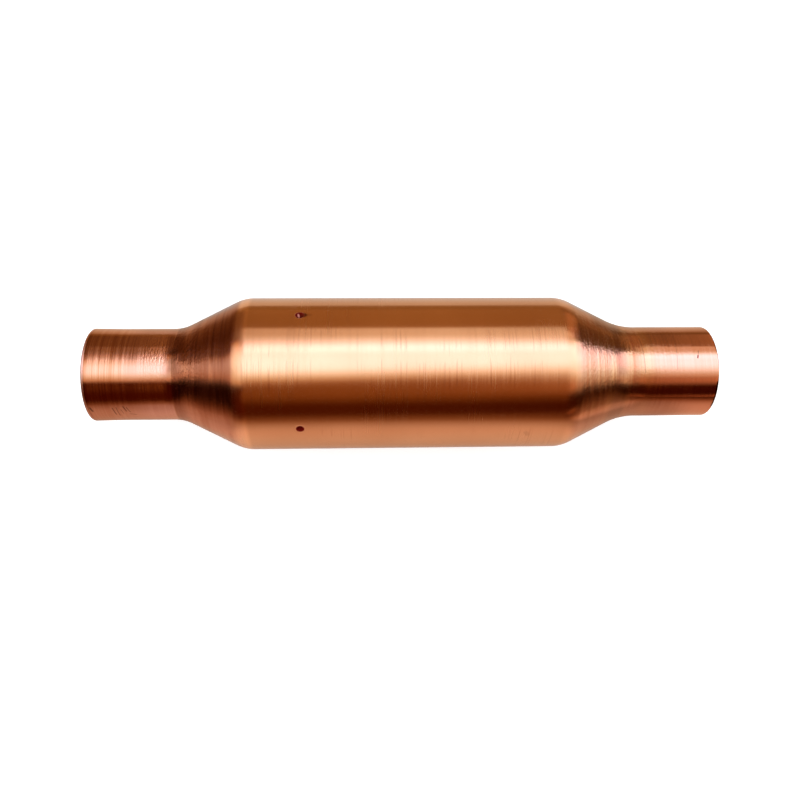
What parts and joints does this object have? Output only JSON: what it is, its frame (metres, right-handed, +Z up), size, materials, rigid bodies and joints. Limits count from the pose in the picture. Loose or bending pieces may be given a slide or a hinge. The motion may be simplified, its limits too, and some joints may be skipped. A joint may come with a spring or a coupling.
{
  "type": "magnetic non-return valve",
  "caption": "Straight-through magnetic non-return valve in a spun copper shell, with a solder socket at each end and a disc that a ring magnet pulls shut.",
  "frame": {"origin": "on the flow axis, at the middle of the shell's length", "axes": "+X along the flow, from the inlet socket to the outlet socket; +Z up as the valve lies in the picture; +Y to the far side"},
  "size_m": [0.1012, 0.025, 0.025],
  "materials": {
    "spun_copper": "bare copper, finely brushed round its axis, darker and coarser at the spun necks",
    "turned_brass": "turned brass",
    "ferrite": "ground dark grey magnet",
    "seal_rubber": "black moulded rubber",
    "stainless_sheet": "pressed stainless sheet",
    "plated_steel": "bright plated steel",
    "white_ptfe": "machined white fluoropolymer",
    "spring_steel": "phosphated spring steel"
  },
  "bodies": {
    "housing": {"body_shell": "spun_copper", "valve_seat": "turned_brass", "seat_o_ring": "seal_rubber", "ring_magnet": "ferrite", "guide_cage": "stainless_sheet", "stem_bush": "white_ptfe"},
    "poppet": {"armature_disc": "plated_steel", "disc_gasket": "white_ptfe", "guide_stem": "turned_brass", "stem_push_nut": "spring_steel"}
  },
  "joints": [
    {"name": "disc_lift", "type": "slide", "parent": "housing", "child": "poppet", "axis": [1, 0, 0], "range_m": [0, 0.004], "stiffness_N_per_m": 10, "springref_m": -0.04}
  ]
}
